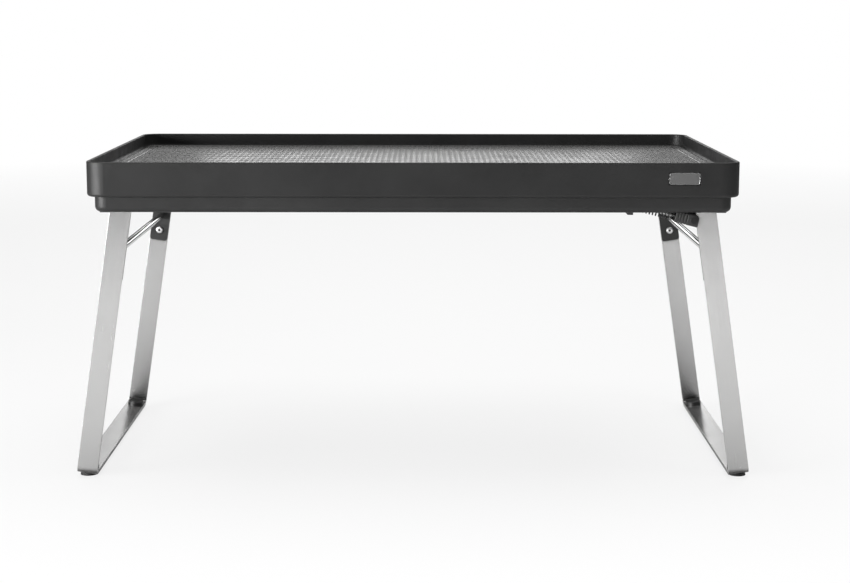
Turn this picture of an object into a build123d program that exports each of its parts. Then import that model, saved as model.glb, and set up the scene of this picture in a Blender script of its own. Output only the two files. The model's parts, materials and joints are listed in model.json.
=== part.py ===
from build123d import *
import os
from math import atan2, cos, degrees, hypot, radians, sin

# Folding tray table: a moulded tray on two U-shaped leg frames of bent flat steel bar.
# Millimetres. +X runs along the tray, -Y is the front, +Z is up.
# The origin lies on the floor, under the middle of the tray.
# Each leg frame turns on two hinge pins and snaps open or shut over a sprung strut.
# The left half is the right half turned half a turn about Z.

# ---- tray ----
tray_length = 600.0
tray_width = 365.0
tray_top = 303.3            # height of the rim above the floor
band_height = 32.2          # upper band of the tray, rim included
tray_corner = 18.0          # radius of the tray's upright corners
rim_wall = 3.0
rim_round = 1.0
rim_depth = 14.3            # from the rim down to the tray floor
floor_thickness = 2.5
floor_fillet = 4.0          # between the tray floor and the rim
band_bottom_round = 2.5
rib_depth = 8.0
rib_thickness = 2.0
rib_from_end = 55.0
rib_from_side = 64.5
ribs_along = (-90.0, -30.0, 30.0, 90.0)
ribs_across = (-180.0, -120.0, -60.0, 60.0, 120.0, 180.0)
pad_depth = 5.0             # thicker places of the floor that screws bite into

# ---- lower pan ----
pan_inset = 6.8             # step from the band in to the pan, all round
pan_fit = 0.2               # clearance between the pan and the band's skirt
pan_over_bar = 4.4          # a folded bar stands this far up inside the band
pan_wall = 2.5
pan_lip = 4.0               # inward lip along the pan's open underside
pan_lip_thickness = 2.5
pan_corner = 12.0
pan_bottom_round = 5.0
post_size = 12.0
post_long_x = 100.0         # places of the posts along the long sides
boss_radius = 4.5
boss_length = 12.5

# ---- mat and badge ----
mat_thickness = 2.2
mat_gap = 0.3
mat_edge_round = 0.6
badge_length = 29.3
badge_height = 12.4
badge_thickness = 1.4
badge_proud = 0.3
badge_corner = 1.8
badge_from_end = 52.3
badge_below_rim = 14.5

# ---- leg frame ----
bar_width = 19.0
bar_thickness = 4.0
frame_inset = 28.5          # outside of a leg frame in from the tray's long side
bend_inner_radius = 3.5
splay = 8.65                # degrees that an open leg leans outwards
foot_clear = 3.4            # middle of the bottom bar's underside above the floor
hinge_from_end = 27.1       # hinge axis in from the tray's end
pivot_offset = 2.1          # hinge axis outboard of the bar's centre line
fold_flush = 0.5            # a folded bar lies this far inside the pan's underside
top_end = 8.5               # the bar's upper end above the hinge axis
top_round_outer = 7.0
top_round_inner = 4.0

# ---- hinge ----
pin_radius = 3.0
pin_fit = 0.05
pin_head_reach = 1.5        # pin's head beyond the pin, all round
pin_head_thickness = 1.6
bush_wall = 1.0
bush_flange_reach = 1.45
bush_flange_thickness = 0.8
bush_side_gap = 0.2
block_length = 22.0
block_thickness = 14.0
block_below_axis = 6.4
block_corner = 3.0
block_screw_spread = 6.8    # block screws before and behind the hinge axis

# ---- brackets and cross rod ----
bracket_thickness = 3.0
bracket_length = 76.0       # below the hinge axis
bracket_corner = 3.0
rod_radius = 3.5
rod_below_axis = 48.7
screw_low = 64.6            # bracket screws below the hinge axis
screw_high = 27.0
screw_radius = 2.0
screw_fit = 0.15
screw_depth_in_bar = 3.0
button_radius = 3.8
button_height = 2.2
button_socket = 1.45
small_socket = 1.25
socket_depth = 1.4

# ---- feet ----
cap_from_bend = 0.4         # cap clear of the bend in the bar
pad_radius = 8.0
cap_radius = 8.3
cap_thickness = 3.2
cap_round = 0.8
stem_radius = 3.0
stem_into_cap = 1.5

# ---- sprung strut ----
strut_beside_bar = 7.5      # strut plane outside the leg frame
ear_beyond_bar = 4.335      # strut pin from the bar's inner edge
ear_below_hinge = 13.659    # strut pin down the bar from the hinge axis
anchor_from_hinge = 73.5    # strut anchor under the tray, in from the hinge axis
anchor_below_hinge = 1.0
strut_pin_radius = 2.0
shoulder_radius = 3.2
ear_radius = 5.5
sleeve_half = 5.5
sleeve_mouth = 17.5         # sleeve's open end from its pin
sleeve_tail = 4.5
sleeve_bore = 3.9
sleeve_web = 3.8            # solid stretch between the bore and the pin
sleeve_edge = 1.2
sleeve_tail_round = 3.5     # keeps the folded sleeve clear of the tray floor
guide_radius = 1.8
guide_length = 48.4
guide_collar_radius = 5.2
guide_collar_start = 6.0
guide_collar_thickness = 1.5
eye_radius = 4.0
eye_thickness = 5.4
anchor_pin_radius = 1.5
spring_outer = 4.95
spring_inner = 3.65
side_gap = 0.2

# ---- anchor post ----
anchor_size = 7.0
anchor_thickness = 11.0
anchor_hang = 2.6           # post end below the pan's underside
anchor_chamfer = 2.0
window_above = 6.6
window_below = 6.4
flange_length = 20.0
flange_thickness = 3.0
flange_screw_spread = 6.8

# ---- stops ----
stop_gap = 0.1
stop_thickness = 7.0
stop_hang = 2.0
stop_height = 8.0
stop_relief = 0.6
rest_over_bar = 5.79        # the rest reaches this far over each folded bar
rest_notch = 0.5            # ribs are cut back this far round the rest
rest_width = 40.0

# ---- small screws ----
small_screw_radius = 1.5
small_screw_fit = 0.2
small_head_radius = 2.8
small_head_height = 2.0
small_screw_bite = 4.0      # thread above the face that the screw pulls up to
head_fit = 0.3
pan_screw_sink = 3.0

# ---- heights and places worked out from the values above ----
pan_drop = bar_width - pan_over_bar
band_bottom = tray_top - band_height
pan_bottom = band_bottom - pan_drop
floor_top = tray_top - rim_depth
floor_bottom = floor_top - floor_thickness
pad_bottom = floor_bottom - pad_depth
boss_bottom = floor_bottom - boss_length
hinge_x = tray_length / 2 - hinge_from_end
hinge_z = pan_bottom + bar_width / 2 - pivot_offset + fold_flush
hinge = Vector(hinge_x, 0, hinge_z)
bar_centre = -pivot_offset
bar_inner_edge = bar_centre - bar_width / 2
bar_outer_edge = bar_centre + bar_width / 2
lean_sin = sin(radians(splay))
lean_cos = cos(radians(splay))
leg_length = (hinge_z + bar_centre * lean_sin - foot_clear) / lean_cos
frame_width = tray_width - 2 * frame_inset
frame_half = frame_width / 2
bar_inner_y = frame_half - bar_thickness
bracket_inner_y = bar_inner_y - bracket_thickness
block_outer_y = bracket_inner_y - bush_flange_thickness - bush_side_gap
block_inner_y = block_outer_y - block_thickness
foot_y = frame_half - bar_thickness - bend_inner_radius - cap_radius - cap_from_bend
bush_radius = pin_radius + pin_fit + bush_wall
bush_flange_radius = bush_radius + bush_flange_reach
pin_head_radius = pin_radius + pin_head_reach
pan_length = tray_length - 2 * pan_inset
pan_width = tray_width - 2 * pan_inset
pan_inner_x = pan_length / 2 - pan_wall
pan_inner_y = pan_width / 2 - pan_wall
rib_reach_x = tray_length / 2 - rib_from_end
rib_reach_y = tray_width / 2 - rib_from_side
badge_x = tray_length / 2 - badge_from_end
strut_y = frame_half + strut_beside_bar
anchor_x = hinge_x - anchor_from_hinge
anchor = Vector(anchor_x, 0, hinge_z - anchor_below_hinge)
ear_x = bar_inner_edge - ear_beyond_bar
ear_z = -ear_below_hinge
strut_pin = hinge + Vector(ear_x * lean_cos - ear_z * lean_sin, 0, ear_x * lean_sin + ear_z * lean_cos)
strut_length = hypot(strut_pin.X - anchor.X, strut_pin.Z - anchor.Z)
strut_angle = degrees(atan2(strut_pin.Z - anchor.Z, strut_pin.X - anchor.X))
folded_bar_top = hinge_z + pivot_offset + bar_width / 2
rest_length = 2 * (hinge_x - leg_length + rest_over_bar)

leg_place = Location(hinge, (0, -splay, 0))
strut_place = Location(Vector(anchor.X, 0, anchor.Z), (0, -strut_angle, 0))
half_turn = Location((0, 0, 0), (0, 0, 180))
past = 1.0                  # how far a cutting solid runs past the face it opens
deep = 60.0                 # a cutting solid that passes right through


def block(x0, x1, y0, y1, z0, z1):
    """A box between two corners."""
    place = Location(((x0 + x1) / 2, (y0 + y1) / 2, (z0 + z1) / 2))
    return place * Box(abs(x1 - x0), abs(y1 - y0), abs(z1 - z0))


def slab(length, width, corner, z0, z1):
    """An upright block with rounded corners, centred on the Z axis."""
    return Location((0, 0, z0)) * extrude(RectangleRounded(length, width, corner), z1 - z0)


def bar_y(radius, x, z, y0, y1):
    """A round bar along Y between y0 and y1."""
    place = Location((x, (y0 + y1) / 2, z), (90, 0, 0))
    return place * Cylinder(radius, abs(y1 - y0))


def bar_z(radius, x, y, z0, z1):
    """A round bar along Z between z0 and z1."""
    return Location((x, y, (z0 + z1) / 2)) * Cylinder(radius, abs(z1 - z0))


def bar_x(radius, x0, x1, y, z):
    """A round bar along X between x0 and x1."""
    place = Location(((x0 + x1) / 2, y, z), (0, 90, 0))
    return place * Cylinder(radius, abs(x1 - x0))


def group(pieces):
    """Separate solids that share one node."""
    return Compound(children=[solid for piece in pieces for solid in piece.solids()])


def post_places():
    """Centres of the pan's screw posts."""
    corner_x = pan_inner_x - post_size / 2
    corner_y = pan_inner_y - post_size / 2
    corners = [(sx * corner_x, sy * corner_y) for sx in (-1, 1) for sy in (-1, 1)]
    sides = [(sx * post_long_x, sy * corner_y) for sx in (-1, 1) for sy in (-1, 1)]
    ends = [(sx * corner_x, 0.0) for sx in (-1, 1)]
    return corners + sides + ends


def block_screw_places():
    """Screws of the hinge blocks on the right half, as (x, y)."""
    middle = (block_inner_y + block_outer_y) / 2
    places = []
    for sy in (-1, 1):
        for sx in (-1, 1):
            places.append((hinge_x + sx * block_screw_spread, sy * middle))
    return places


def anchor_screw_places():
    """Screws of the anchor post on the right half, as (x, y)."""
    return [(anchor_x + sx * flange_screw_spread, -strut_y) for sx in (-1, 1)]


def both_halves(places):
    """Places on the right half, and the same places turned to the left half."""
    return places + [(-x, -y) for x, y in places]


# ---- tray pieces ----

def tray_shell():
    shell = slab(tray_length, tray_width, tray_corner, band_bottom, tray_top)
    shell = fillet(shell.edges().group_by(Axis.Z)[0], band_bottom_round)
    inside = slab(
        tray_length - 2 * rim_wall,
        tray_width - 2 * rim_wall,
        tray_corner - rim_wall,
        floor_top,
        tray_top + floor_fillet,
    )
    shell -= fillet(inside.edges().group_by(Axis.Z)[0], floor_fillet)
    shell -= slab(
        pan_length + 2 * pan_fit,
        pan_width + 2 * pan_fit,
        pan_corner + pan_fit,
        band_bottom - past,
        floor_bottom,
    )
    shell = fillet(shell.edges().group_by(Axis.Z)[-1], rim_round)
    rib_bottom = floor_bottom - rib_depth
    for y in ribs_along:
        shell += block(
            -rib_reach_x, rib_reach_x, y - rib_thickness / 2, y + rib_thickness / 2, rib_bottom, floor_bottom
        )
    for x in ribs_across:
        shell += block(
            x - rib_thickness / 2, x + rib_thickness / 2, -rib_reach_y, rib_reach_y, rib_bottom, floor_bottom
        )
    shell -= block(
        -rest_length / 2 - rest_notch,
        rest_length / 2 + rest_notch,
        -rest_width / 2 - rest_notch,
        rest_width / 2 + rest_notch,
        rib_bottom - past,
        floor_bottom,
    )
    for x, y in post_places():
        shell += bar_z(boss_radius, x, y, boss_bottom, floor_bottom)
        shell -= bar_z(small_screw_radius, x, y, boss_bottom - past, floor_bottom)
    middle = (block_inner_y + block_outer_y) / 2
    for sx in (-1, 1):
        for sy in (-1, 1):
            shell += block(
                sx * hinge_x - block_length / 2,
                sx * hinge_x + block_length / 2,
                sy * middle - block_thickness / 2,
                sy * middle + block_thickness / 2,
                pad_bottom,
                floor_bottom,
            )
        shell += block(
            sx * anchor_x - flange_length / 2,
            sx * anchor_x + flange_length / 2,
            -sx * strut_y - anchor_thickness / 2,
            -sx * strut_y + anchor_thickness / 2,
            pad_bottom,
            floor_bottom,
        )
    for x, y in both_halves(block_screw_places() + anchor_screw_places()):
        shell -= bar_z(small_screw_radius, x, y, pad_bottom - past, pad_bottom + small_screw_bite)
    recess = badge_solid(badge_length, badge_height, -tray_width / 2, badge_thickness - badge_proud)
    return shell - recess


def badge_solid(length, height, outer_y, depth):
    """A rounded plate in the front face, from outer_y inwards by depth."""
    centre_z = tray_top - badge_below_rim
    face = Plane(origin=(badge_x, outer_y, centre_z), x_dir=(1, 0, 0), z_dir=(0, 1, 0))
    return extrude(face * RectangleRounded(length, height, badge_corner), depth)


def badge_plate():
    return badge_solid(badge_length, badge_height, -tray_width / 2 - badge_proud, badge_thickness)


def rubber_mat():
    side = rim_wall + floor_fillet + mat_gap
    mat = slab(
        tray_length - 2 * side,
        tray_width - 2 * side,
        tray_corner - side,
        floor_top,
        floor_top + mat_thickness,
    )
    return fillet(mat.edges().group_by(Axis.Z)[-1], mat_edge_round)


def lower_pan():
    outer = slab(pan_length, pan_width, pan_corner, pan_bottom, floor_bottom)
    outer = fillet(outer.edges().group_by(Axis.Z)[0], pan_bottom_round)
    pan = outer - slab(
        2 * pan_inner_x,
        2 * pan_inner_y,
        pan_corner - pan_wall,
        pan_bottom + pan_lip_thickness,
        floor_bottom + past,
    )
    pan -= slab(
        2 * (pan_inner_x - pan_lip),
        2 * (pan_inner_y - pan_lip),
        pan_corner - pan_wall - pan_lip,
        pan_bottom - past,
        pan_bottom + pan_lip_thickness + past,
    )
    half_post = post_size / 2
    for x, y in post_places():
        post = block(x - half_post, x + half_post + past, y - half_post, y + half_post, pan_bottom, boss_bottom)
        if x < 0:
            post = block(x - half_post - past, x + half_post, y - half_post, y + half_post, pan_bottom, boss_bottom)
        if y != 0:
            side = 1 if y > 0 else -1
            post += block(x - half_post, x + half_post, y, y + side * (half_post + past), pan_bottom, boss_bottom)
        pan += post & outer
    for x, y in post_places():
        pan -= bar_z(small_screw_radius + small_screw_fit, x, y, pan_bottom - past, boss_bottom + past)
        pan -= bar_z(small_head_radius + head_fit, x, y, pan_bottom - past, pan_bottom + pan_screw_sink)
    return pan


def small_screw(x, y, seat_z, tip_z):
    """A socket-head screw driven upwards; seat_z is the face under its head."""
    screw = bar_z(small_head_radius, x, y, seat_z - small_head_height, seat_z)
    screw += bar_z(small_screw_radius, x, y, seat_z, tip_z)
    socket = extrude(RegularPolygon(small_socket, 6), socket_depth)
    return screw - Location((x, y, seat_z - small_head_height)) * socket


def pan_screws():
    return group([
        small_screw(x, y, pan_bottom + pan_screw_sink, floor_bottom - past) for x, y in post_places()
    ])


def hinge_block(side):
    """Block that carries a hinge pin; side is -1 at the front and 1 at the back."""
    half = block_length / 2
    body = block(
        hinge_x - half,
        hinge_x + half,
        side * block_inner_y,
        side * block_outer_y,
        hinge_z - block_below_axis,
        pad_bottom,
    )
    body = fillet(body.edges().filter_by(Axis.Y).group_by(Axis.Z)[0], block_corner)
    body -= bar_y(pin_radius, hinge_x, hinge_z, side * (block_inner_y - past), side * (block_outer_y + past))
    for x, y in block_screw_places():
        if y * side > 0:
            body -= bar_z(small_screw_radius + small_screw_fit, x, y, pan_bottom, pad_bottom + past)
            head_top = hinge_z - block_below_axis + small_head_height
            body -= bar_z(small_head_radius + head_fit, x, y, pan_bottom - past, head_top)
    return body


def hinge_block_screws():
    seat = hinge_z - block_below_axis + small_head_height
    places = both_halves(block_screw_places())
    return group([small_screw(x, y, seat, pad_bottom + small_screw_bite) for x, y in places])


def hinge_pins():
    """The two pins of the right leg frame, headed on the outside of the bars."""
    pins = []
    head_start = frame_half + bush_side_gap
    for side in (-1, 1):
        pin = bar_y(pin_radius, hinge_x, hinge_z, side * block_inner_y, side * head_start)
        head_end = side * (head_start + pin_head_thickness)
        pin += bar_y(pin_head_radius, hinge_x, hinge_z, side * head_start, head_end)
        pins.append(pin)
    return group(pins)


def anchor_post():
    """Post under the tray that the sprung strut pushes from."""
    half = anchor_size / 2
    y0 = -strut_y - anchor_thickness / 2
    y1 = -strut_y + anchor_thickness / 2
    post = block(anchor_x - half, anchor_x + half, y0, y1, pan_bottom - anchor_hang, pad_bottom)
    post = chamfer(post.edges().filter_by(Axis.Y).group_by(Axis.Z)[0].sort_by(Axis.X)[0], anchor_chamfer)
    flange_half = flange_length / 2
    post += block(anchor_x - flange_half, anchor_x + flange_half, y0, y1, pad_bottom - flange_thickness, pad_bottom)
    slot_half = eye_thickness / 2 + side_gap
    post -= block(
        anchor_x - half - past,
        anchor_x + half + past,
        -strut_y - slot_half,
        -strut_y + slot_half,
        anchor.Z - window_below,
        anchor.Z + window_above,
    )
    post -= bar_y(anchor_pin_radius, anchor_x, anchor.Z, y0 - past, y1 + past)
    for x, y in anchor_screw_places():
        post -= bar_z(
            small_screw_radius + small_screw_fit, x, y, pad_bottom - flange_thickness - past, pad_bottom + past
        )
    return post


def anchor_pin():
    half = anchor_thickness / 2
    return bar_y(anchor_pin_radius, anchor_x, anchor.Z, -strut_y - half, -strut_y + half)


def anchor_screws():
    seat = pad_bottom - flange_thickness
    places = both_halves(anchor_screw_places())
    return group([small_screw(x, y, seat, pad_bottom + small_screw_bite) for x, y in places])


def leg_stops():
    """Two rubber stops of the right frame, clipped over the pan's lip."""
    stops = []
    middle = frame_half - bar_thickness / 2
    lip_start = pan_inner_x - pan_lip
    for side in (-1, 1):
        stop = block(
            hinge_x,
            pan_inner_x,
            side * (middle - stop_thickness / 2),
            side * (middle + stop_thickness / 2),
            pan_bottom - stop_hang,
            pan_bottom - stop_hang + stop_height,
        )
        stop -= block(
            lip_start,
            pan_inner_x + past,
            side * (middle - stop_thickness),
            side * (middle + stop_thickness),
            pan_bottom,
            pan_bottom + pan_lip_thickness,
        )
        leg_side = block(
            bar_outer_edge + stop_gap - deep, bar_outer_edge + stop_gap, side * middle - deep, side * middle + deep,
            -deep, deep,
        )
        stop -= leg_place * leg_side
        relief = top_end + stop_relief
        stop -= bar_y(relief, hinge_x, hinge_z, side * middle - deep, side * middle + deep)
        stops.append(stop.solids().sort_by(SortBy.VOLUME)[-1])
    return group(stops)


def centre_rest():
    """Rubber block that both folded frames come to rest against."""
    rest = block(
        -rest_length / 2,
        rest_length / 2,
        -rest_width / 2,
        rest_width / 2,
        folded_bar_top + stop_gap,
        floor_bottom,
    )
    return fillet(rest.edges().filter_by(Axis.Z), block_corner)


# ---- leg pieces, drawn with the hinge axis as local Y and the leg hanging down local Z ----

def leg_frame():
    height = top_end + leg_length
    outline = Rectangle(frame_width, height)
    outer_radius = bend_inner_radius + bar_thickness
    outline = fillet(outline.vertices().group_by(Axis.Y)[0], outer_radius)
    opening = Location((0, bar_thickness)) * Rectangle(frame_width - 2 * bar_thickness, height)
    opening = fillet(opening.vertices().group_by(Axis.Y)[0], bend_inner_radius)
    face = Plane(origin=(bar_inner_edge, 0, top_end - height / 2), x_dir=(0, 1, 0), z_dir=(1, 0, 0))
    frame = extrude(face * (outline - opening), bar_width)
    ends = frame.edges().filter_by(Axis.Y).group_by(Axis.Z)[-1]
    frame = fillet(ends.group_by(Axis.X)[-1], top_round_outer)
    ends = frame.edges().filter_by(Axis.Y).group_by(Axis.Z)[-1]
    frame = fillet(ends.group_by(Axis.X)[0], top_round_inner)
    frame -= bar_y(bush_radius, 0, 0, -frame_half - past, frame_half + past)
    for side in (-1, 1):
        for drop in (screw_high, screw_low):
            tip = side * (bar_inner_y + screw_depth_in_bar)
            frame -= bar_y(screw_radius, bar_centre, -drop, side * bracket_inner_y, tip)
        frame -= bar_z(stem_radius, bar_centre, side * foot_y, -leg_length - past, -leg_length + deep)
    return leg_place * frame


def bracket(side, with_ear):
    """Black plate on the inside of a bar; with_ear adds the lug for the strut pin."""
    y0 = side * bracket_inner_y
    y1 = side * bar_inner_y
    plate = block(bar_inner_edge, bar_outer_edge, y0, y1, -bracket_length, top_end)
    corners = plate.edges().filter_by(Axis.Y)
    plate = fillet(corners.group_by(Axis.Z)[0], bracket_corner)
    corners = plate.edges().filter_by(Axis.Y).group_by(Axis.Z)[-1]
    plate = fillet(corners.group_by(Axis.X)[-1], top_round_outer)
    corners = plate.edges().filter_by(Axis.Y).group_by(Axis.Z)[-1]
    plate = fillet(corners.group_by(Axis.X)[0], top_round_inner)
    if with_ear:
        plate += bar_y(ear_radius, ear_x, ear_z, y0, y1)
        plate += block(ear_x, bar_centre, y0, y1, ear_z - ear_radius, ear_z + ear_radius)
        plate -= bar_y(strut_pin_radius, ear_x, ear_z, y0 - side * past, y1 + side * past)
    plate -= bar_y(bush_radius, 0, 0, y0 - side * past, y1 + side * past)
    plate -= bar_y(rod_radius, bar_centre, -rod_below_axis, y0 - side * past, y1 + side * past)
    for drop in (screw_high, screw_low):
        plate -= bar_y(screw_radius + screw_fit, bar_centre, -drop, y0 - side * past, y1 + side * past)
    return leg_place * plate


def cross_rod():
    return leg_place * bar_y(rod_radius, bar_centre, -rod_below_axis, -bar_inner_y, bar_inner_y)


def bracket_screws():
    """Button-head screws that hold the brackets to the bars."""
    screws = []
    for side in (-1, 1):
        for drop in (screw_high, screw_low):
            tip = side * (bar_inner_y + screw_depth_in_bar)
            screw = bar_y(screw_radius, bar_centre, -drop, side * bracket_inner_y, tip)
            head_end = side * (bracket_inner_y - button_height)
            head = bar_y(button_radius, bar_centre, -drop, side * bracket_inner_y, head_end)
            rim = head.edges().sort_by(Axis.Y)
            outer_rim = rim[0] if side > 0 else rim[-1]
            screw += fillet(outer_rim, button_height * 2 / 3)
            face = Plane(origin=(bar_centre, head_end, -drop), x_dir=(1, 0, 0), z_dir=(0, side, 0))
            screw -= extrude(face * RegularPolygon(button_socket, 6), socket_depth)
            screws.append(leg_place * screw)
    return group(screws)


def hinge_bushes():
    """Flanged nylon bushes pressed into the bars and brackets."""
    bushes = []
    for side in (-1, 1):
        bush = bar_y(bush_radius, 0, 0, side * bracket_inner_y, side * frame_half)
        flange_end = side * (bracket_inner_y - bush_flange_thickness)
        bush += bar_y(bush_flange_radius, 0, 0, side * bracket_inner_y, flange_end)
        bush -= bar_y(pin_radius + pin_fit, 0, 0, flange_end - side * past, side * (frame_half + past))
        bushes.append(leg_place * bush)
    return group(bushes)


def foot_pads():
    """Rubber feet under the bottom bar, moulded flat where they stand on the floor."""
    pads = []
    reach = 3 * foot_clear
    floor = block(-tray_length, tray_length, -tray_width, tray_width, -deep, 0)
    for side in (-1, 1):
        y = side * foot_y
        pad = bar_z(pad_radius, bar_centre, y, -leg_length - reach, -leg_length)
        stem_top = -leg_length + bar_thickness + stem_into_cap
        pad += bar_z(stem_radius, bar_centre, y, -leg_length, stem_top)
        pads.append(leg_place * pad - floor)
    return group(pads)


def foot_caps():
    """Round caps on top of the bottom bar that hold the feet's stems."""
    caps = []
    seat = -leg_length + bar_thickness
    for side in (-1, 1):
        y = side * foot_y
        cap = bar_z(cap_radius, bar_centre, y, seat, seat + cap_thickness)
        cap = fillet(cap.edges().sort_by(Axis.Z)[-1], cap_round)
        cap -= bar_z(stem_radius, bar_centre, y, seat - past, seat + stem_into_cap)
        caps.append(leg_place * cap)
    return group(caps)


def toggle_pin():
    """Shouldered pin from the bracket's ear out to the strut."""
    outer = strut_y + sleeve_half + side_gap
    pin = bar_y(strut_pin_radius, ear_x, ear_z, -bracket_inner_y, -outer)
    pin += bar_y(shoulder_radius, ear_x, ear_z, -bar_inner_y, -(strut_y - sleeve_half - side_gap))
    pin += bar_y(shoulder_radius, ear_x, ear_z, -outer, -(outer + pin_head_thickness / 2))
    return leg_place * pin


# ---- strut pieces, drawn with the anchor at the origin and the strut along local X ----

def guide_rod():
    rod = bar_x(guide_radius, 0, guide_length, -strut_y, 0)
    rod += bar_y(eye_radius, 0, 0, -strut_y - eye_thickness / 2, -strut_y + eye_thickness / 2)
    collar_end = guide_collar_start + guide_collar_thickness
    rod += bar_x(guide_collar_radius, guide_collar_start, collar_end, -strut_y, 0)
    rod -= bar_y(
        anchor_pin_radius + pin_fit, 0, 0, -strut_y - eye_thickness, -strut_y + eye_thickness
    )
    return strut_place * rod


def toggle_spring():
    """The coil spring's own space, as a tube."""
    start = guide_collar_start + guide_collar_thickness
    end = strut_length - sleeve_mouth
    tube = bar_x(spring_outer, start, end, -strut_y, 0)
    tube -= bar_x(spring_inner, start - past, end + past, -strut_y, 0)
    return strut_place * tube


def spring_sleeve():
    """Moulded strut end that slides over the guide rod and turns on the toggle pin."""
    mouth = strut_length - sleeve_mouth
    body = block(
        mouth,
        strut_length + sleeve_tail,
        -strut_y - sleeve_half,
        -strut_y + sleeve_half,
        -sleeve_half,
        sleeve_half,
    )
    tail_edges = body.edges().filter_by(Axis.Y).group_by(Axis.X)[-1]
    body = fillet(tail_edges.sort_by(Axis.Z)[-1], sleeve_tail_round)
    body = fillet(body.edges().filter_by(Axis.X), sleeve_edge)
    body -= bar_x(sleeve_bore, mouth - past, strut_length - sleeve_web, -strut_y, 0)
    body -= bar_y(strut_pin_radius + pin_fit, strut_length, 0, -strut_y - deep, -strut_y + deep)
    return strut_place * body


right_front = -1
right_back = 1

tray_nodes = {
    "tray_shell": tray_shell(),
    "lower_pan": lower_pan(),
    "rubber_mat": rubber_mat(),
    "badge_plate": badge_plate(),
    "pan_screws": pan_screws(),
    "hinge_block_screws": hinge_block_screws(),
    "anchor_screws": anchor_screws(),
    "centre_rest": centre_rest(),
}

right_nodes = {
    "hinge_block_right_front": hinge_block(right_front),
    "hinge_block_right_back": hinge_block(right_back),
    "hinge_pins_right": hinge_pins(),
    "leg_stops_right": leg_stops(),
    "anchor_post_right": anchor_post(),
    "anchor_pin_right": anchor_pin(),
    "leg_frame_right": leg_frame(),
    "toggle_bracket_right": bracket(right_front, True),
    "plain_bracket_right": bracket(right_back, False),
    "cross_rod_right": cross_rod(),
    "bracket_screws_right": bracket_screws(),
    "hinge_bushes_right": hinge_bushes(),
    "foot_pads_right": foot_pads(),
    "foot_caps_right": foot_caps(),
    "toggle_pin_right": toggle_pin(),
    "guide_rod_right": guide_rod(),
    "toggle_spring_right": toggle_spring(),
    "spring_sleeve_right": spring_sleeve(),
}


def left_name(name):
    """The left half's name for a piece of the right half."""
    swapped = name.replace("_right_front", "_left_back").replace("_right_back", "_left_front")
    return swapped.replace("_right", "_left")


nodes = dict(tray_nodes)
for name, piece in right_nodes.items():
    nodes[name] = piece
    nodes[left_name(name)] = half_turn * piece

os.makedirs("parts", exist_ok=True)
for name, piece in nodes.items():
    export_step(piece, f"parts/{name}.step")
print(len(nodes), "nodes; leg", round(leg_length, 2), "mm; strut", round(strut_length, 2), "mm")
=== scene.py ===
# %% [markdown]
# # A folding tray table
#
# The real object is a low table for a bed or a sofa. A black moulded tray with a
# dimpled rubber mat stands on two U-shaped frames of bent flat steel bar, and each
# frame snaps open or shut over a sprung strut.
#
# The working parts were drawn in CAD and arrive here as fixed nodes, each on a body
# that can move. This lesson keeps those nodes, gives every one of them a finish made
# from shader nodes, and builds the pieces that need finer shapes than the CAD has:
# the dimpled mat, the wound springs, the ribbed strut ends, the badge and the
# softened steel bars.

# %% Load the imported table
import json
import math

import bmesh
import bpy
from mathutils import Euler, Matrix, Vector, geometry, kdtree


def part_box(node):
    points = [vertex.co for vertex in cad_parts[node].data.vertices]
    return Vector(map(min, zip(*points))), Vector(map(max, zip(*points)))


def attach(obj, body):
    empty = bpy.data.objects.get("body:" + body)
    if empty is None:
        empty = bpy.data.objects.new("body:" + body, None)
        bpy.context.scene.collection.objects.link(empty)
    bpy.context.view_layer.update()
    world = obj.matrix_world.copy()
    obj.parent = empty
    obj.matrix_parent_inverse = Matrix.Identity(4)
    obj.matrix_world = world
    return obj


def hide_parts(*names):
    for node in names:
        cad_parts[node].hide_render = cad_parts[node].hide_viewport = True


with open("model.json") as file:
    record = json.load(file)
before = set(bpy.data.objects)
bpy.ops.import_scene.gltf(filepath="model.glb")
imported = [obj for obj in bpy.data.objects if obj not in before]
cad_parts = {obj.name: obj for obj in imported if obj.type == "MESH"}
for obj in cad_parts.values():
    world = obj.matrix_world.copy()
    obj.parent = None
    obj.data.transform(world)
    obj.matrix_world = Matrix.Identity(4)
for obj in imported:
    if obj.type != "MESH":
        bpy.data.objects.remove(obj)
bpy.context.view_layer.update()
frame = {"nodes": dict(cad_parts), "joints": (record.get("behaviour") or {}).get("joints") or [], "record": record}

scene = bpy.context.scene
nodes = frame["nodes"]
MM = 0.001
SIDES = ("right", "left")

# %% [markdown]
# ## Reading sizes from the table
#
# Some sizes below are read from the CAD. A small function gives the middle of a
# node, and the lean of an open leg comes from its hinge: the leg turns through a
# right angle plus its lean before it lies flat.

# %% Middles of nodes and the lean of the legs
def middle(node):
    """The middle of a CAD node's box."""
    low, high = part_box(node)
    return (low + high) / 2


fold_limit = next(j["range_deg"][1] for j in frame["joints"] if j["name"] == "leg_hinge_right")
leg_lean = math.radians(fold_limit - 90.0)
print("legs lean", round(math.degrees(leg_lean), 2), "degrees")

# %% [markdown]
# ## Small helpers for shader trees
#
# A shader tree is a list of nodes and the wires between them. Writing each node out
# takes three or four lines, so one helper adds a node, sets its choices, and then
# either sets a socket to a number or wires another node's output into it.

# %% Add a shader node, start a node group
def put(tree, kind, sockets=None, **choices):
    """Add a node; each entry of sockets is a number, or an output to wire in."""
    node = tree.nodes.new(kind)
    for name, value in choices.items():
        setattr(node, name, value)
    for name, value in (sockets or {}).items():
        if isinstance(value, bpy.types.NodeSocket):
            tree.links.new(value, node.inputs[name])
        else:
            node.inputs[name].default_value = value
    return node


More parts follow.
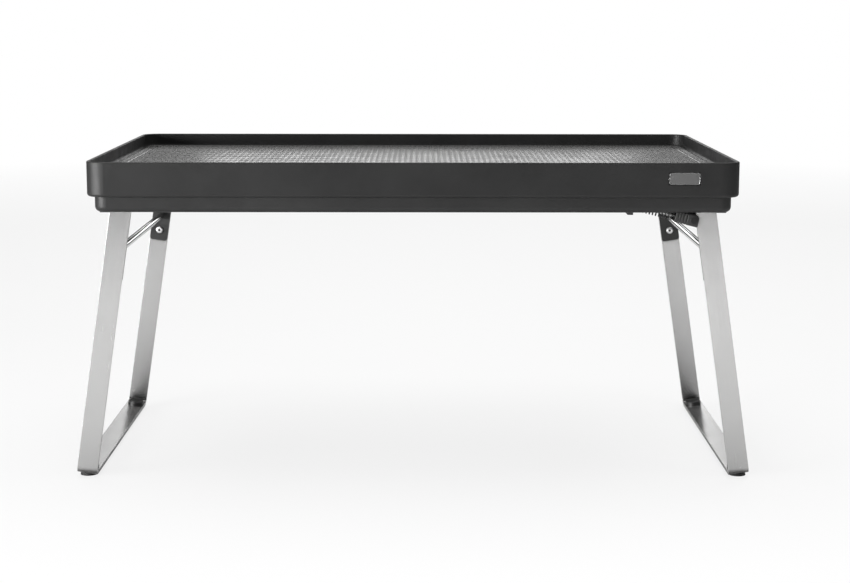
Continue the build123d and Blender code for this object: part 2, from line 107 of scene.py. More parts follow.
def start_group(name, inputs, outputs):
    """An empty group; inputs are (name, kind, value) and outputs are (name, kind)."""
    tree = bpy.data.node_groups.new(name, "ShaderNodeTree")
    for label, kind, value in inputs:
        socket = tree.interface.new_socket(label, in_out="INPUT", socket_type=kind)
        socket.default_value = value
    for label, kind in outputs:
        tree.interface.new_socket(label, in_out="OUTPUT", socket_type=kind)
    return tree, tree.nodes.new("NodeGroupInput"), tree.nodes.new("NodeGroupOutput")


def place_group(tree, group, sockets=None):
    """Put a finished group into a material, with this material's own values."""
    node = tree.nodes.new("ShaderNodeGroup")
    node.node_tree = group
    for name, value in (sockets or {}).items():
        node.inputs[name].default_value = value
    return node


FLOAT, VECTOR = "NodeSocketFloat", "NodeSocketVector"

# %% [markdown]
# ## The moulded grain
#
# Black plastic trays come out of a spark-eroded mould, which leaves a fine even
# pebble of a third of a millimetre or so. Two textures make it: a cell pattern for
# the pebbles and a noise that breaks them up. A second, much larger noise says where
# the plastic is a shade lighter, because no moulding has one even tone.

# %% Group: moulded grain
def moulded_grain():
    tree, given, result = start_group(
        "Moulded grain",
        [("Grain Scale", FLOAT, 2600.0), ("Cloud Scale", FLOAT, 11.0)],
        [("Height", FLOAT), ("Cloud", FLOAT)],
    )
    place = put(tree, "ShaderNodeTexCoord").outputs["Object"]
    pebbles = put(
        tree, "ShaderNodeTexVoronoi",
        {"Vector": place, "Scale": given.outputs["Grain Scale"], "Randomness": 1.0},
        feature="SMOOTH_F1",
    )
    grit = put(
        tree, "ShaderNodeTexNoise",
        {"Vector": place, "Scale": given.outputs["Grain Scale"], "Detail": 3.0, "Roughness": 0.6},
    )
    both = put(
        tree, "ShaderNodeMath",
        {0: pebbles.outputs["Distance"], 1: grit.outputs["Fac"]}, operation="MULTIPLY",
    )
    cloud = put(
        tree, "ShaderNodeTexNoise",
        {"Vector": place, "Scale": given.outputs["Cloud Scale"], "Detail": 4.0, "Roughness": 0.55},
    )
    spread = put(
        tree, "ShaderNodeMapRange",
        {"Value": cloud.outputs["Fac"], "From Min": 0.35, "From Max": 0.65},
    )
    tree.links.new(both.outputs[0], result.inputs["Height"])
    tree.links.new(spread.outputs["Result"], result.inputs["Cloud"])
    return tree


grain_group = moulded_grain()
print(grain_group.name, len(grain_group.nodes), "nodes")

# %% [markdown]
# ## Edges that catch the light
#
# A real edge is never sharp: it has a small radius, and hands polish it. The Bevel
# node gives the normal that a rounded edge would have. Where that normal differs
# from the true one there is an edge, so the difference is also a mask for wear. A
# noise breaks the mask up, because wear comes in patches.

# %% Group: rounded and worn edges
def worn_edges():
    tree, given, result = start_group(
        "Worn edges",
        [("Edge Radius", FLOAT, 0.0004), ("Patch Scale", FLOAT, 90.0)],
        [("Wear", FLOAT), ("Rounded Normal", VECTOR)],
    )
    place = put(tree, "ShaderNodeTexCoord").outputs["Object"]
    rounded = put(tree, "ShaderNodeBevel", {"Radius": given.outputs["Edge Radius"]}, samples=4)
    true_normal = put(tree, "ShaderNodeNewGeometry").outputs["Normal"]
    agree = put(
        tree, "ShaderNodeVectorMath",
        {0: rounded.outputs["Normal"], 1: true_normal}, operation="DOT_PRODUCT",
    )
    edge = put(
        tree, "ShaderNodeMapRange",
        {"Value": agree.outputs["Value"], "From Min": 0.985, "From Max": 0.80},
    )
    patches = put(
        tree, "ShaderNodeTexNoise",
        {"Vector": place, "Scale": given.outputs["Patch Scale"], "Detail": 5.0, "Roughness": 0.7},
    )
    patchy = put(
        tree, "ShaderNodeMapRange",
        {"Value": patches.outputs["Fac"], "From Min": 0.38, "From Max": 0.62},
    )
    wear = put(
        tree, "ShaderNodeMath",
        {0: edge.outputs["Result"], 1: patchy.outputs["Result"]}, operation="MULTIPLY",
    )
    tree.links.new(wear.outputs[0], result.inputs["Wear"])
    tree.links.new(rounded.outputs["Normal"], result.inputs["Rounded Normal"])
    return tree


edge_group = worn_edges()
print(edge_group.name, len(edge_group.nodes), "nodes")

# %% [markdown]
# ## Brushed lines
#
# Flat bar is brushed on a belt that runs along its length. A noise squeezed across
# the bar and drawn out along it gives those hairlines. The group takes the turn and
# the squeeze as vectors, so the same group serves bars that lean either way.

# %% Group: brushed lines
def brushed_lines():
    tree, given, result = start_group(
        "Brushed lines",
        [("Turn", VECTOR, (0.0, 0.0, 0.0)), ("Squeeze", VECTOR, (2600.0, 2600.0, 22.0))],
        [("Height", FLOAT), ("Streaks", FLOAT)],
    )
    place = put(tree, "ShaderNodeTexCoord").outputs["Object"]
    turned = put(
        tree, "ShaderNodeMapping", {"Vector": place, "Rotation": given.outputs["Turn"]}
    )
    drawn = put(
        tree, "ShaderNodeVectorMath",
        {0: turned.outputs["Vector"], 1: given.outputs["Squeeze"]}, operation="MULTIPLY",
    )
    lines = put(
        tree, "ShaderNodeTexNoise",
        {"Vector": drawn.outputs["Vector"], "Scale": 1.0, "Detail": 4.0, "Roughness": 0.65},
    )
    broad = put(
        tree, "ShaderNodeTexNoise",
        {"Vector": drawn.outputs["Vector"], "Scale": 0.16, "Detail": 2.0, "Roughness": 0.5},
    )
    streaks = put(
        tree, "ShaderNodeMapRange",
        {"Value": broad.outputs["Fac"], "From Min": 0.35, "From Max": 0.65},
    )
    tree.links.new(lines.outputs["Fac"], result.inputs["Height"])
    tree.links.new(streaks.outputs["Result"], result.inputs["Streaks"])
    return tree


brush_group = brushed_lines()
print(brush_group.name, len(brush_group.nodes), "nodes")

# %% [markdown]
# ## Handling marks
#
# Fingers leave soft patches that are a little shinier or duller than the rest, and
# fine dust settles on whatever faces up. One group makes both: a cloudy mask for the
# patches, and a mask of upward faces broken by a fine noise for the dust.

# %% Group: handling marks and dust
def handling_marks():
    tree, given, result = start_group(
        "Handling marks",
        [("Mark Scale", FLOAT, 28.0), ("Speck Scale", FLOAT, 900.0)],
        [("Marks", FLOAT), ("Dust", FLOAT)],
    )
    place = put(tree, "ShaderNodeTexCoord").outputs["Object"]
    cloud = put(
        tree, "ShaderNodeTexNoise",
        {"Vector": place, "Scale": given.outputs["Mark Scale"], "Detail": 5.0,
         "Roughness": 0.6, "Distortion": 0.8},
    )
    marks = put(
        tree, "ShaderNodeMapRange",
        {"Value": cloud.outputs["Fac"], "From Min": 0.40, "From Max": 0.64},
    )
    normal = put(tree, "ShaderNodeNewGeometry").outputs["Normal"]
    parts = put(tree, "ShaderNodeSeparateXYZ", {"Vector": normal})
    upward = put(
        tree, "ShaderNodeMapRange", {"Value": parts.outputs["Z"], "From Min": 0.6, "From Max": 1.0}
    )
    specks = put(
        tree, "ShaderNodeTexNoise",
        {"Vector": place, "Scale": given.outputs["Speck Scale"], "Detail": 2.0},
    )
    sparse = put(
        tree, "ShaderNodeMapRange",
        {"Value": specks.outputs["Fac"], "From Min": 0.45, "From Max": 0.75},
    )
    dust = put(
        tree, "ShaderNodeMath",
        {0: upward.outputs["Result"], 1: sparse.outputs["Result"]}, operation="MULTIPLY",
    )
    tree.links.new(marks.outputs["Result"], result.inputs["Marks"])
    tree.links.new(dust.outputs[0], result.inputs["Dust"])
    return tree


mark_group = handling_marks()
print(mark_group.name, len(mark_group.nodes), "nodes")

# %% [markdown]
# ## Painted shade in the corners
#
# The Ambient Occlusion node measures how closed in each point is, and a range turns
# that into a mask. The colours that use it blend towards dark, which paints shade in
# screw sockets, beside a cap and along the foot of a bar. It also paints the dark eye
# of a deep socket.

# %% Group: painted shade in recesses
def painted_recess_shade():
    tree, given, result = start_group(
        "Painted recess shade", [("Reach", FLOAT, 0.003)], [("Painted Shade", FLOAT)]
    )
    occlusion_shade = put(
        tree, "ShaderNodeAmbientOcclusion", {"Distance": given.outputs["Reach"]}, samples=8
    )
    mask = put(
        tree, "ShaderNodeMapRange",
        {"Value": occlusion_shade.outputs["AO"], "From Min": 0.85, "From Max": 0.50},
    )
    tree.links.new(mask.outputs["Result"], result.inputs["Painted Shade"])
    return tree


recess_shade_group = painted_recess_shade()
print(recess_shade_group.name, len(recess_shade_group.nodes), "nodes")

# %% [markdown]
# ## Lattice sheen
#
# A moulded dimple pattern never shines evenly: the tool leaves whole diagonals of it
# a little glossier. Two sine waves run across each other at a slant, and their
# product is a lattice of lozenges between 0 and 1.

# %% Group: lattice sheen
def lattice_sheen():
    tree, given, result = start_group(
        "Lattice sheen", [("Pitch Across", FLOAT, 0.01), ("Pitch Along", FLOAT, 0.04)],
        [("Sheen", FLOAT)],
    )
    place = put(tree, "ShaderNodeTexCoord").outputs["Object"]
    parts = put(tree, "ShaderNodeSeparateXYZ", {"Vector": place})

    def turns(axis, pitch):
        steps = put(
            tree, "ShaderNodeMath", {0: parts.outputs[axis], 1: given.outputs[pitch]},
            operation="DIVIDE",
        )
        return put(
            tree, "ShaderNodeMath", {0: steps.outputs[0], 1: 2 * math.pi}, operation="MULTIPLY"
        ).outputs[0]

    across, along = turns("X", "Pitch Across"), turns("Y", "Pitch Along")
    waves = []
    for slant in ("ADD", "SUBTRACT"):
        both = put(tree, "ShaderNodeMath", {0: across, 1: along}, operation=slant)
        waves.append(put(tree, "ShaderNodeMath", {0: both.outputs[0]}, operation="SINE"))
    crossed = put(
        tree, "ShaderNodeMath", {0: waves[0].outputs[0], 1: waves[1].outputs[0]},
        operation="MULTIPLY",
    )
    sheen = put(
        tree, "ShaderNodeMapRange",
        {"Value": crossed.outputs[0], "From Min": -0.6, "From Max": 0.6},
    )
    tree.links.new(sheen.outputs["Result"], result.inputs["Sheen"])
    return tree


lattice_group = lattice_sheen()
print(lattice_group.name, len(lattice_group.nodes), "nodes")

# %% [markdown]
# ## Joining masks to a shader
#
# Every finish blends colours by masks, turns a mask into a range of roughness, and
# feeds a height into a Bump node. These four helpers say that in one line each. The
# Principled shader itself always stays in the material, where its fixed values are
# set on its own sockets.

# %% Blend, range, bump and a bare material
def blend_colour(tree, mask, first, second):
    """Colour that goes from first to second as the mask goes from 0 to 1."""
    node = put(tree, "ShaderNodeMix", data_type="RGBA")
    for index, value in ((0, mask), (6, first), (7, second)):
        if isinstance(value, bpy.types.NodeSocket):
            tree.links.new(value, node.inputs[index])
        else:
            node.inputs[index].default_value = value
    return node.outputs[2]


def ranged(tree, mask, low, high):
    """The mask stretched to run from low to high."""
    node = put(tree, "ShaderNodeMapRange", {"Value": mask, "To Min": low, "To Max": high})
    return node.outputs["Result"]


def raised(tree, height, normal, strength, distance):
    """A normal tilted by a height."""
    node = put(
        tree, "ShaderNodeBump",
        {"Height": height, "Normal": normal, "Strength": strength, "Distance": distance},
    )
    return node.outputs["Normal"]


def bare_material(name, **fixed):
    """A material with only its Principled shader; fixed values go on its sockets."""
    material = bpy.data.materials.new(name)
    material.use_nodes = True
    tree = material.node_tree
    shader = next(n for n in tree.nodes if n.type == "BSDF_PRINCIPLED")
    for label, value in fixed.items():
        shader.inputs[label.replace("_", " ")].default_value = value
    return material, tree, shader


def grey(level, warm=0.0):
    """A near-neutral colour; warm above 0 leans to yellow and below 0 to blue."""
    return (level * (1 + warm), level, level * (1 - warm), 1.0)


finishes = {}

# %% [markdown]
# ## Plastic and rubber finishes
#
# The tray, the pan, the hinge blocks and the strut ends are black plastics, and the
# mat, feet and stops are rubber. They share one recipe: two close tones blended by
# clouds, edges a shade lighter where hands rub, a little dust on top, grain for the
# bump, and a roughness that drifts with the handling marks. Only the numbers differ.
# The mat adds two more effects: painted shade darkens its hollows, which are also
# duller, and a lattice sheen runs over its lands.

# %% Finish: moulded plastic and rubber
def moulded(
    name, tone, tone_spread, rough, rough_spread, grain, depth, edge,
    warm=0.0, dust=0.15, shine=0.5, lattice=0.0,
):
    material, tree, shader = bare_material(name, Metallic=0.0, Specular_IOR_Level=shine)
    grain_node = place_group(tree, grain_group, {"Grain Scale": grain})
    edge_node = place_group(tree, edge_group, {"Edge Radius": edge})
    mark_node = place_group(tree, mark_group)
    body = blend_colour(
        tree, grain_node.outputs["Cloud"], grey(tone, warm), grey(tone * (1 + tone_spread), warm)
    )
    rubbed = put(
        tree, "ShaderNodeMath", {0: edge_node.outputs["Wear"], 1: 0.45}, operation="MULTIPLY"
    )
    body = blend_colour(tree, rubbed.outputs[0], body, grey(tone * 2.6, warm))
    settled = put(
        tree, "ShaderNodeMath", {0: mark_node.outputs["Dust"], 1: dust}, operation="MULTIPLY"
    )
    body = blend_colour(tree, settled.outputs[0], body, grey(0.32, 0.03))
    roughness = ranged(tree, mark_node.outputs["Marks"], rough, rough + rough_spread)
    if lattice:
        # Painted shade: the occlusion mask darkens the dimples and the groove, and also makes them duller.
        hollow_shade = place_group(tree, recess_shade_group, {"Reach": 0.003}).outputs["Painted Shade"]
        body = blend_colour(tree, hollow_shade, body, grey(tone * 0.2))
        pitches = {"Pitch Across": 11.32 * MM, "Pitch Along": 48.0 * MM}
        sheen = place_group(tree, lattice_group, pitches).outputs["Sheen"]
        uneven = put(
            tree, "ShaderNodeMath", {0: roughness, 1: ranged(tree, sheen, 0.0, lattice)},
            operation="ADD",
        )
        roughness = ranged(tree, hollow_shade, uneven.outputs[0], 0.75)
    tree.links.new(body, shader.inputs["Base Color"])
    tree.links.new(roughness, shader.inputs["Roughness"])
    normal = raised(
        tree, grain_node.outputs["Height"], edge_node.outputs["Rounded Normal"], 0.55, depth
    )
    tree.links.new(normal, shader.inputs["Normal"])
    finishes[name] = material


# Name, tone and its spread, roughness and its spread, grain scale, bump depth, edge.
moulded("tray_plastic", 0.0125, 0.35, 0.42, 0.10, 2600.0, 0.00008, 0.0005, shine=0.28)
moulded("pan_plastic", 0.0150, 0.35, 0.44, 0.10, 2600.0, 0.00008, 0.0005, shine=0.28)
moulded("mat_rubber", 0.040, 0.25, 0.20, 0.08, 1700.0, 0.00002, 0.0002, warm=0.01, lattice=0.17)
moulded("hinge_nylon", 0.017, 0.35, 0.46, 0.12, 1900.0, 0.00006, 0.0005)
moulded("cap_plastic", 0.012, 0.35, 0.34, 0.12, 2400.0, 0.00004, 0.0005)
moulded("foot_rubber", 0.014, 0.35, 0.58, 0.14, 1500.0, 0.00008, 0.0005)
moulded("bush_nylon", 0.62, 0.10, 0.38, 0.10, 2200.0, 0.00003, 0.0003, warm=0.05, dust=0.0)
print("moulded finishes:", len(finishes))

# %% [markdown]
# ## Brushed and polished steel
#
# The legs are stainless flat bar, brushed along its length; the cross rods are
# polished, the screws turned, and the springs and pins blackened or ground. A metal
# shows its surroundings, so its look is mostly roughness: hairlines for the bump,
# broad streaks for the roughness, and slightly brighter worn edges.

# %% Finish: metal with drawn lines
def metal(name, tone, rough, rough_spread, turn, squeeze, depth, edge, warm=0.0, reach=0.0012):
    material, tree, shader = bare_material(name, Metallic=1.0)
    brush_node = place_group(tree, brush_group, {"Turn": turn, "Squeeze": squeeze})
    edge_node = place_group(tree, edge_group, {"Edge Radius": edge})
    mark_node = place_group(tree, mark_group, {"Mark Scale": 22.0})
    body = blend_colour(
        tree, brush_node.outputs["Streaks"], grey(tone * 0.93, warm), grey(tone, warm)
    )
    stain = ranged(tree, mark_node.outputs["Marks"], 0.0, 0.12)
    body = blend_colour(tree, stain, body, grey(tone * 0.8, warm + 0.02))
    polished = put(
        tree, "ShaderNodeMath", {0: edge_node.outputs["Wear"], 1: 0.5}, operation="MULTIPLY"
    )
    body = blend_colour(tree, polished.outputs[0], body, grey(min(0.9, tone * 1.25 + 0.05), warm))
    # Painted shade: the occlusion mask darkens screw sockets and the corners where parts meet.
    painted_shade = place_group(tree, recess_shade_group, {"Reach": reach}).outputs["Painted Shade"]
    body = blend_colour(tree, painted_shade, body, grey(tone * 0.06, 0.02))
    tree.links.new(body, shader.inputs["Base Color"])
    streaky = ranged(tree, brush_node.outputs["Streaks"], rough, rough + rough_spread)
    marked = ranged(tree, mark_node.outputs["Marks"], 0.0, 0.05)
    roughness = put(tree, "ShaderNodeMath", {0: streaky, 1: marked}, operation="ADD")
    tree.links.new(roughness.outputs[0], shader.inputs["Roughness"])
    normal = raised(
        tree, brush_node.outputs["Height"], edge_node.outputs["Rounded Normal"], 0.35, depth
    )
    tree.links.new(normal, shader.inputs["Normal"])
    finishes[name] = material


no_turn = (0.0, 0.0, 0.0)
along_x, along_y, along_z = (
    tuple(26.0 if axis == drawn else 2600.0 for axis in range(3)) for drawn in range(3)
)
turned = (900.0, 900.0, 900.0)
# Name, tone, roughness and its spread, turn, squeeze, bump depth, edge radius.
metal("rod_steel", 0.74, 0.07, 0.04, no_turn, along_y, 0.000002, 0.0002)
metal("screw_steel", 0.80, 0.34, 0.08, no_turn, turned, 0.000006, 0.0003, reach=0.003)
metal("black_screw_steel", 0.045, 0.32, 0.12, no_turn, turned, 0.00001, 0.0003)
metal("spring_steel", 0.035, 0.30, 0.12, no_turn, along_x, 0.00001, 0.0002)
metal("pin_steel", 0.52, 0.24, 0.12, no_turn, along_y, 0.000008, 0.0003)

# %% [markdown]
# ## Steel for the legs
#
# Each leg frame is one bar bent into a U, and the brushing follows it: down the
# uprights, then across the bottom. Both directions are made, each turned by the
# frame's lean, and the height above the floor picks between them just over the bend.

# %% Finish: leg bars, one for each lean
def leg_steel(side, lean, bend_height):
    material, tree, shader = bare_material("leg_steel_" + side, Metallic=1.0)
    upright = place_group(tree, brush_group, {"Turn": (0.0, lean, 0.0), "Squeeze": along_z})
    across = place_group(tree, brush_group, {"Turn": (0.0, lean, 0.0), "Squeeze": along_y})
    edge_node = place_group(tree, edge_group, {"Edge Radius": 0.0003})
    mark_node = place_group(tree, mark_group, {"Mark Scale": 16.0})
    place = put(tree, "ShaderNodeTexCoord").outputs["Object"]
    height = put(tree, "ShaderNodeSeparateXYZ", {"Vector": place}).outputs["Z"]
    above = put(
        tree, "ShaderNodeMapRange",
        {"Value": height, "From Min": bend_height, "From Max": bend_height + 2 * MM},
    ).outputs["Result"]

    def picked(output):
        node = put(tree, "ShaderNodeMix", data_type="FLOAT")
        sources = ((0, above), (2, across.outputs[output]), (3, upright.outputs[output]))
        for index, value in sources:
            tree.links.new(value, node.inputs[index])
        return node.outputs[0]

    streaks = picked("Streaks")
    body = blend_colour(tree, streaks, grey(0.535, 0.004), grey(0.555, 0.004))
    stain = ranged(tree, mark_node.outputs["Marks"], 0.0, 0.05)
    body = blend_colour(tree, stain, body, grey(0.42, 0.02))
    # Painted shade: the occlusion mask darkens the bar near the floor and beside the caps and brackets, so it is
    # darker towards its foot.
    occlusion_shade = place_group(tree, recess_shade_group, {"Reach": 0.014}).outputs["Painted Shade"]
    body = blend_colour(tree, ranged(tree, occlusion_shade, 0.0, 0.85), body, grey(0.10, 0.02))
    polished = put(
        tree, "ShaderNodeMath", {0: edge_node.outputs["Wear"], 1: 0.4}, operation="MULTIPLY"
    )
    body = blend_colour(tree, polished.outputs[0], body, grey(0.82))
    tree.links.new(body, shader.inputs["Base Color"])
    streaky = ranged(tree, streaks, 0.21, 0.25)
    marked = ranged(tree, mark_node.outputs["Marks"], 0.0, 0.03)
    roughness = put(tree, "ShaderNodeMath", {0: streaky, 1: marked}, operation="ADD")
    tree.links.new(roughness.outputs[0], shader.inputs["Roughness"])
    normal = raised(tree, picked("Height"), edge_node.outputs["Rounded Normal"], 0.4, 0.000012)
    tree.links.new(normal, shader.inputs["Normal"])
    return material


bend_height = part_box("foot_caps_right")[0].z + 6 * MM
leg_finish = {
    side: leg_steel(side, sign * leg_lean, bend_height) for side, sign in zip(SIDES, (1, -1))
}
print("leg finishes change direction at", round(bend_height / MM, 1), "mm")

# %% [markdown]
# ## Painted brackets and the badge
#
# The brackets are powder-coated black: a soft orange peel rather than a grain, and
# bare steel where the coat has chipped at an edge. The chip mask drives both colour
# and metal. The badge is a grey enamelled plate in a thin bright rim, and it stays
# blank.

# %% Finish: powder coat and enamel
def powder_coat(name, tone, peel_scale):
    material, tree, shader = bare_material(name, Coat_Roughness=0.25)
    grain_node = place_group(tree, grain_group, {"Grain Scale": peel_scale, "Cloud Scale": 30.0})
    edge_node = place_group(tree, edge_group, {"Edge Radius": 0.0004, "Patch Scale": 160.0})
    mark_node = place_group(tree, mark_group, {"Mark Scale": 60.0})
    chipped = put(
        tree, "ShaderNodeMapRange",
        {"Value": edge_node.outputs["Wear"], "From Min": 0.55, "From Max": 0.85},
    ).outputs["Result"]
    body = blend_colour(tree, grain_node.outputs["Cloud"], grey(tone), grey(tone * 1.5))
    body = blend_colour(tree, chipped, body, grey(0.42, 0.02))
    tree.links.new(body, shader.inputs["Base Color"])
    tree.links.new(chipped, shader.inputs["Metallic"])
    roughness = ranged(tree, mark_node.outputs["Marks"], 0.34, 0.48)
    tree.links.new(roughness, shader.inputs["Roughness"])
    normal = raised(
        tree, grain_node.outputs["Height"], edge_node.outputs["Rounded Normal"], 0.5, 0.00006
    )
    tree.links.new(normal, shader.inputs["Normal"])
    finishes[name] = material


powder_coat("bracket_paint", 0.013, 1300.0)
moulded("badge_enamel", 0.085, 0.12, 0.22, 0.06, 1500.0, 0.00001, 0.0002, dust=0.03)
metal("badge_rim", 0.34, 0.22, 0.08, no_turn, along_x, 0.000006, 0.0002)
print("finishes:", sorted(finishes))

# %% [markdown]
# ## Dressing the CAD nodes
#
# The record says which finish each CAD node takes. Its object keeps its mesh, and
# only the material in its slots changes. The leg bars lean two ways, so each takes
# the finish turned to its own lean.

# %% Give every CAD node its finish
slot_of = {}
for part in frame["record"]["subparts"]:
    slot_of[part["node"]] = part["material_slot"]


def finish_of(node):
    """The finished material of a CAD node."""
    if slot_of[node] == "leg_steel":
        return leg_finish[node.rsplit("_", 1)[1]]
    return finishes[slot_of[node]]


for name, piece in nodes.items():
    piece.data.materials.clear()
    piece.data.materials.append(finish_of(name))
print("dressed", len(nodes), "nodes")

# %% [markdown]
# ## Softened steel
#
# The bars, brackets and hinge blocks came from CAD with knife edges. A copy of each
# bar and bracket mesh is cleaned of its extra flat triangles, and a narrow bevel
# rounds every hard edge, as tumbling does to the real parts. The copy then stands for
# the CAD node on the same body. A bevel only removes material, so nothing grows.

# %% Copy a node and soften its edges
FLAT_ENOUGH = 0.5  # degrees between two faces that count as one
HARD_ENOUGH = 35.0  # degrees at an edge that gets rounded


def piece_from(mesh, name, body, slot, *replaced):
    """Link a mesh as a piece that rides on a body and stands for CAD nodes."""
    piece = bpy.data.objects.new(name, mesh)
    scene.collection.objects.link(piece)
    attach(piece, body)
    if replaced:
        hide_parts(*replaced)
    return piece


def softened(node, name, body, radius):
    """A copy of a node with its hard edges rounded by radius."""
    work = bmesh.new()
    work.from_mesh(nodes[node].data)
    bmesh.ops.remove_doubles(work, verts=work.verts, dist=0.002 * MM)
    bmesh.ops.dissolve_limit(
        work, angle_limit=math.radians(FLAT_ENOUGH), verts=work.verts, edges=work.edges
    )
    mesh = bpy.data.meshes.new(name)
    work.to_mesh(mesh)
    work.free()
    mesh.polygons.foreach_set("use_smooth", [True] * len(mesh.polygons))
    mesh.materials.append(finish_of(node))
    piece = piece_from(mesh, name, body, slot_of[node], node)
    bevel = piece.modifiers.new("soft edges", "BEVEL")
    bevel.width = radius
    bevel.segments = 2
    bevel.limit_method = "ANGLE"
    bevel.angle_limit = math.radians(HARD_ENOUGH)
    bevel.use_clamp_overlap = True
    piece.modifiers.new("even shading", "WEIGHTED_NORMAL").keep_sharp = True
    return piece


for side in SIDES:
    body = "leg_" + side
    softened("leg_frame_" + side, side + "_leg_bar", body, 0.35 * MM)
    softened("toggle_bracket_" + side, side + "_sprung_bracket", body, 0.3 * MM)
    softened("plain_bracket_" + side, side + "_bracket", body, 0.3 * MM)
    print(side, "bars and brackets softened")

# %% [markdown]
# ## Outlines with rounded corners
#
# The mat, the badge and the strut ends all start from a rectangle with rounded
# corners. One function lists the points of such an outline, and a second one joins a
# row of equal outlines with faces, the way a loft does.

# %% Rounded outlines and lofts
def rounded_outline(half_x, half_y, radius, steps=8):
    """Points of a rectangle with rounded corners, anticlockwise."""
    points = []
    for corner, (sx, sy) in enumerate(((1, 1), (-1, 1), (-1, -1), (1, -1))):
        centre_x, centre_y = sx * (half_x - radius), sy * (half_y - radius)
        for step in range(steps + 1):
            angle = math.radians(90 * corner + 90 * step / steps)
            points.append(
                (centre_x + radius * math.cos(angle), centre_y + radius * math.sin(angle))
            )
    return points


def loft(work, rows, close_first=True, close_last=True):
    """Join equal closed rows of points; returns the rows of vertices."""
    made = [[work.verts.new(point) for point in row] for row in rows]
    count = len(made[0])
    for lower, upper in zip(made, made[1:]):
        for i in range(count):
            j = (i + 1) % count
            work.faces.new((lower[i], lower[j], upper[j], upper[i]))
    if close_first:
        work.faces.new(list(reversed(made[0])))
    if close_last:
        work.faces.new(made[-1])
    return made


def finished_mesh(work, name, materials, smooth_angle=35.0):
    """Turn a bmesh into a mesh with outward faces and smooth curves."""
    bmesh.ops.recalc_face_normals(work, faces=work.faces)
    for face in work.faces:
        face.smooth = True
    for edge in work.edges:
        if len(edge.link_faces) == 2:
            edge.smooth = edge.calc_face_angle() < math.radians(smooth_angle)
    mesh = bpy.data.meshes.new(name)
    work.to_mesh(mesh)
    work.free()
    for material in materials:
        mesh.materials.append(material)
    return mesh


# %% [markdown]
# ## The dimpled mat
#
# The mat is a rubber sheet that fills the tray. Round it runs a smooth border about a
# centimetre wide, a little hollow, with a rounded bead on its inner side. Then comes
# a fine groove, and inside it thousands of round dimples in a honeycomb pattern.
# Seen low across the tray, the lands between the dimples shine and the dimples stay
# dark, so they have to be real hollows: a bump would not hide its far side.
#
# Each dimple sits in a six-sided cell that shares its corners with its neighbours.
# A cell is eleven points: ten round the dimple's rim and one at its bottom. The gap
# between the ragged edge of the honeycomb and the groove is filled with triangles.

# %% Sizes of the mat
mat_low, mat_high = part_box("rubber_mat")
mat_half_x = (mat_high.x - mat_low.x) / 2
mat_half_y = (mat_high.y - mat_low.y) / 2
mat_centre = (mat_low + mat_high) / 2
mat_corner = 10.7 * MM
border_width = 10.2 * MM
groove_width = 1.5 * MM
groove_depth = 1.0 * MM
dimple_pitch = 5.66 * MM
dimple_radius = 1.78 * MM
dimple_depth = 1.35 * MM
rim_points = 10

# %% The honeycomb's cells
def honeycomb_centres(half_x, half_y, corner):
    """Cell centres over a rectangle, and whether each whole cell is inside it."""
    row_step = dimple_pitch * math.sqrt(3) / 2
    reach = dimple_pitch / math.sqrt(3) + 0.25 * MM
    rows, columns = int(half_y / row_step) + 2, int(half_x / dimple_pitch) + 2
    centres = []
    for row in range(-rows, rows + 1):
        for column in range(-columns, columns + 1):
            x = (column + 0.5 * (row % 2)) * dimple_pitch
            y = row * row_step
            inside = abs(x) < half_x - reach and abs(y) < half_y - reach
            corner_x = abs(x) - (half_x - corner)
            corner_y = abs(y) - (half_y - corner)
            if corner_x > 0 and corner_y > 0:
                inside = inside and math.hypot(corner_x, corner_y) < corner - reach
            centres.append((x, y, inside))
    return centres


def ring_triangles(outer, inner):
    """Triangles between two rings round the same centre, given their angles."""
    triangles = []
    i = j = 0
    while i < len(outer) or j < len(inner):
        next_outer = outer[(i + 1) % len(outer)] + (360 if i + 1 >= len(outer) else 0)
        next_inner = inner[(j + 1) % len(inner)] + (360 if j + 1 >= len(inner) else 0)
        a, b = i % len(outer), len(outer) + j % len(inner)
        if j >= len(inner) or (i < len(outer) and next_outer <= next_inner):
            triangles.append((a, (i + 1) % len(outer), b))
            i += 1
        else:
            triangles.append((a, len(outer) + (j + 1) % len(inner), b))
            j += 1
    return triangles


corner_angles = [30 + 60 * k for k in range(6)]
rim_angles = [30 + 360 * k / rim_points for k in range(rim_points)]
land_pattern = ring_triangles(corner_angles, rim_angles)
field_half_x = mat_half_x - border_width - groove_width
field_half_y = mat_half_y - border_width - groove_width
field_corner = 1.5 * MM
cells = honeycomb_centres(field_half_x, field_half_y, field_corner)
print("dimples:", sum(inside for _, _, inside in cells))

# %% Build the mat in one mesh
def build_mat():
    top = mat_high.z
    points, triangles, sharp_points = [], [], set()
    corner_index = {}
    corner_reach = dimple_pitch / math.sqrt(3)
    for x, y, inside in cells:
        if not inside:
            continue
        local = []
        for angle in corner_angles:
            turn = math.radians(angle)
            corner = (x + corner_reach * math.cos(turn), y + corner_reach * math.sin(turn))
            key = (round(corner[0] / MM, 2), round(corner[1] / MM, 2))
            if key not in corner_index:
                corner_index[key] = len(points)
                points.append((corner[0], corner[1], top))
            local.append(corner_index[key])
        for angle in rim_angles:
            turn = math.radians(angle)
            sharp_points.add(len(points))
            local.append(len(points))
            points.append(
                (x + dimple_radius * math.cos(turn), y + dimple_radius * math.sin(turn), top)
            )
        bottom = len(points)
        points.append((x, y, top - dimple_depth))
        triangles += [tuple(local[k] for k in triangle) for triangle in land_pattern]
        rim = local[6:]
        for k in range(rim_points):
            triangles.append((rim[k], rim[(k + 1) % rim_points], bottom))
    return points, triangles, sharp_points


mat_points, mat_faces, rim_set = build_mat()
print("honeycomb:", len(mat_points), "points,", len(mat_faces), "triangles")

